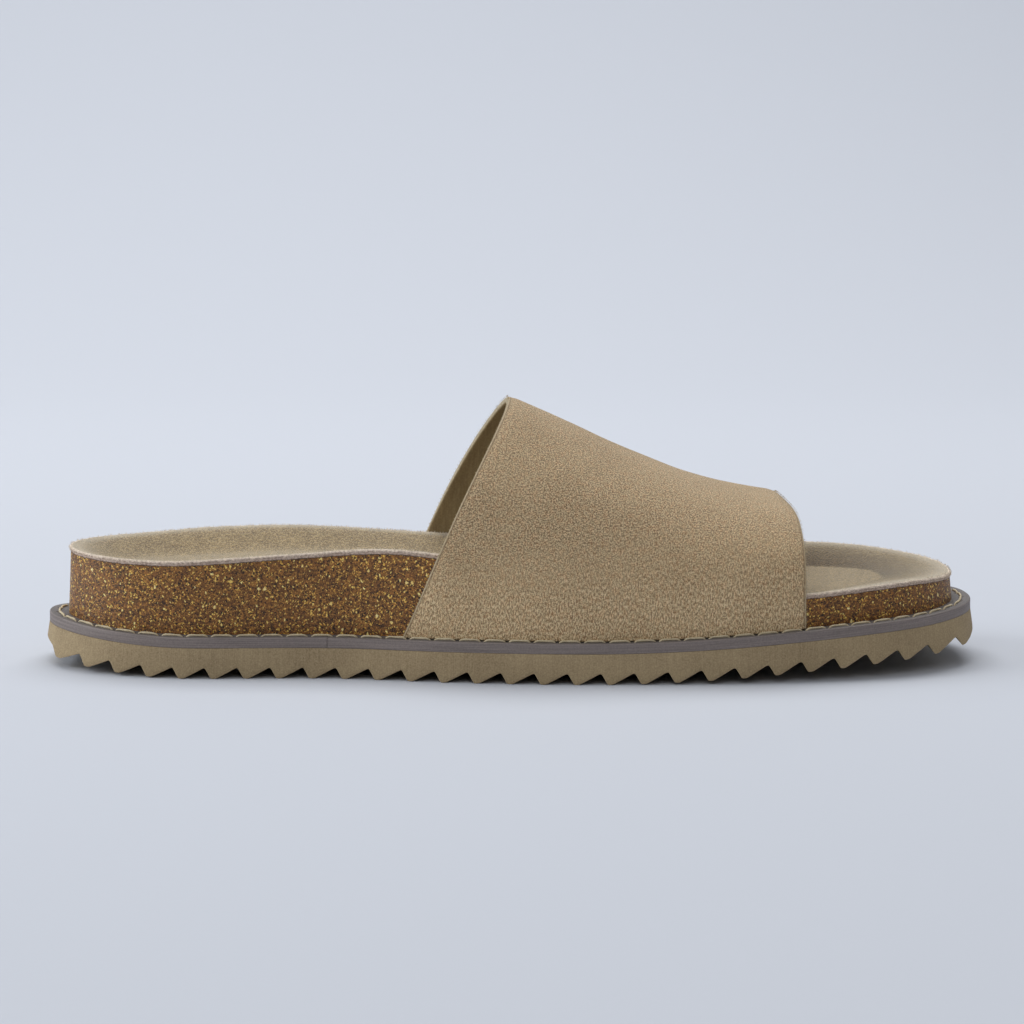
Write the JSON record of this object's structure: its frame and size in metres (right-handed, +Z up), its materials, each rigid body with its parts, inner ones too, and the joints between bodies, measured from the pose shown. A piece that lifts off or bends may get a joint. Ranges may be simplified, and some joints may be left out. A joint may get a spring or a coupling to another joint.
{
  "type": "slide sandal",
  "caption": "Open-toe slide sandal with one wide suede strap over a contoured cork footbed, a stitched welt and a saw-tooth outsole.",
  "frame": {"origin": "middle of the shoe's plan box, on the plane it stands on", "axes": "+X from heel to toe, +Y towards the inner (medial) side, +Z up"},
  "size_m": [0.2886, 0.1058, 0.0818],
  "materials": {
    "outsole_foam": "matt tan foam rubber, sanded side",
    "welt_strip": "matt taupe strip with fine lengthwise lines",
    "cork": "dark pressed cork with pale flecks",
    "insole_suede": "pale suede",
    "strap_suede": "beige suede"
  },
  "bodies": {
    "root": {"outsole": "outsole_foam", "welt": "welt_strip", "cork_midsole": "cork", "insole": "insole_suede", "upper": "strap_suede"}
  },
  "joints": []
}
